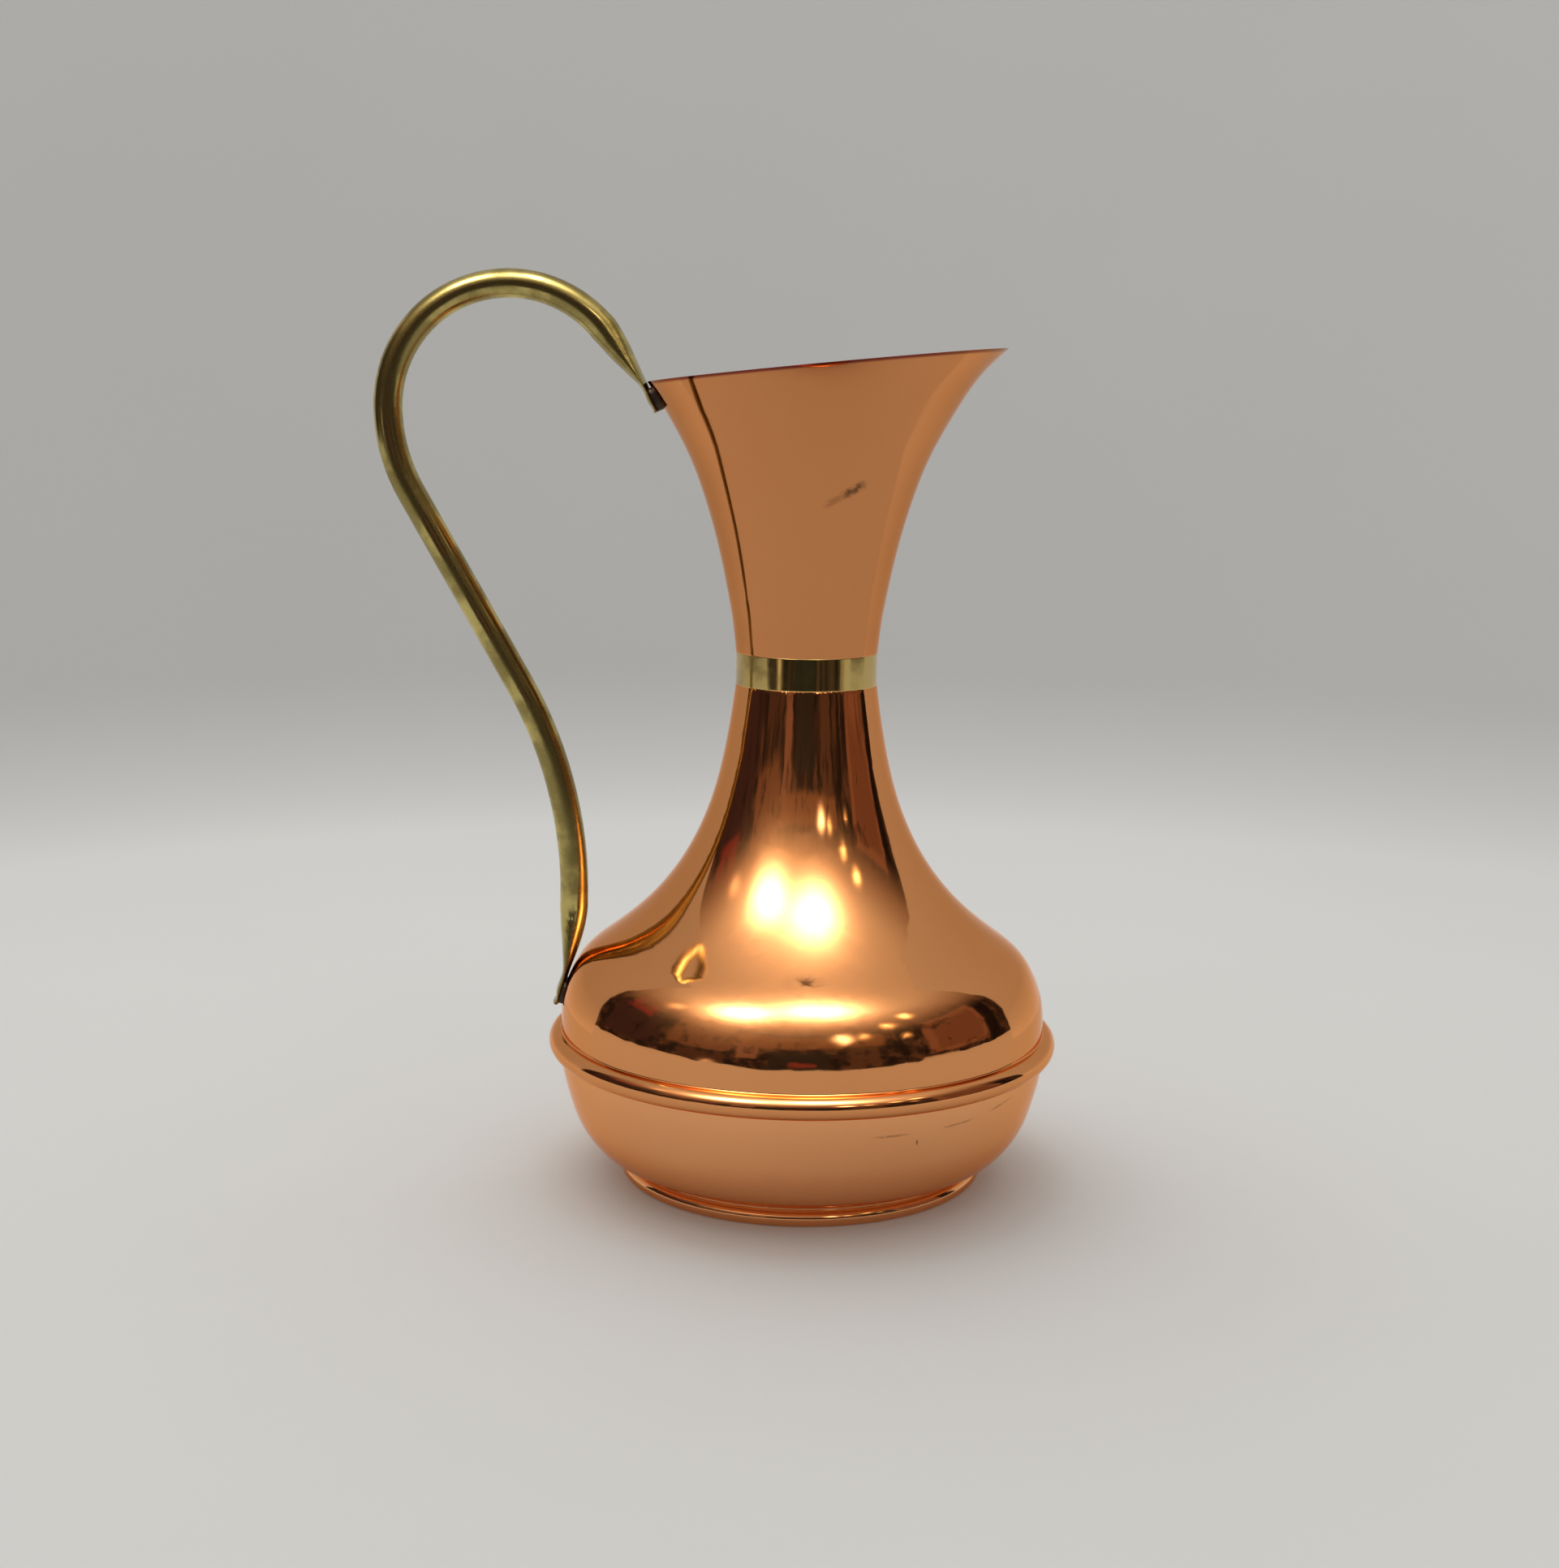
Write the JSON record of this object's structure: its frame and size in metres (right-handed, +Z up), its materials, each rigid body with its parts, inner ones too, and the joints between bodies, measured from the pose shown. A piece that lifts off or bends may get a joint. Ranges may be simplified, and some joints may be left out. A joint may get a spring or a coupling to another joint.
{
  "type": "spun metal jug",
  "caption": "Tall waisted copper water jug with a slanted flared mouth, a brass neck collar, a beaded belly seam and a tall bent brass tube handle.",
  "frame": {"origin": "on the jug's axis, on the surface that the foot stands on", "axes": "+Z up along the axis; the handle is on the -X side and the lip is highest on the +X side; +Y to the back, seen with the handle on the left"},
  "size_m": [0.2296, 0.1728, 0.3028],
  "materials": {
    "copper": "polished and lacquered copper sheet",
    "brass": "polished brass band",
    "handle_brass": "polished brass tube, lightly aged",
    "solder": "dull, darkened soft solder"
  },
  "bodies": {
    "root": {"mouth_funnel": "copper", "neck_collar": "brass", "neck_solder": "solder", "shoulder_shell": "copper", "bowl_shell": "copper", "seam_solder": "solder", "handle_tube": "handle_brass", "handle_top_solder": "solder", "handle_bottom_solder": "solder"}
  },
  "joints": []
}
